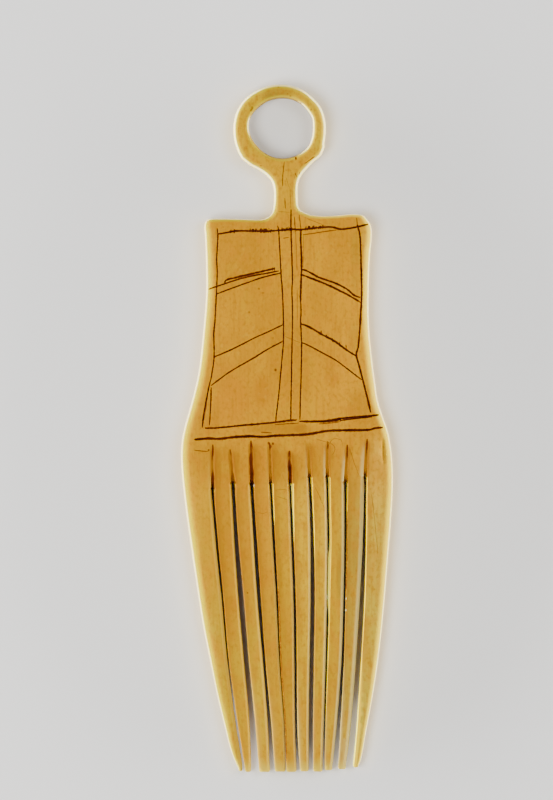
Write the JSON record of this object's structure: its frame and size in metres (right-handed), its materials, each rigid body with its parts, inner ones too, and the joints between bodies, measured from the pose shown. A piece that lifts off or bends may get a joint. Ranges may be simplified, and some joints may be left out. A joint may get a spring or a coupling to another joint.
{
  "type": "ivory comb",
  "caption": "Flat one-piece comb of carved ivory with a hanging ring on a short neck, a plate with cut slanting lines, and a row of long tapering teeth.",
  "frame": {"origin": "centre of the comb's outline, on the plane of its flat back, with the comb lying on that back", "axes": "+Y along the comb from the teeth to the hanging ring, +Z out of the carved face, +X to the right as the carved face is seen with the ring up"},
  "size_m": [0.0371, 0.1204, 0.004],
  "materials": {
    "ivory": "old polished ivory, honey yellow, brown in the cut lines and the saw grooves"
  },
  "bodies": {
    "root": {"comb": "ivory"}
  },
  "joints": []
}
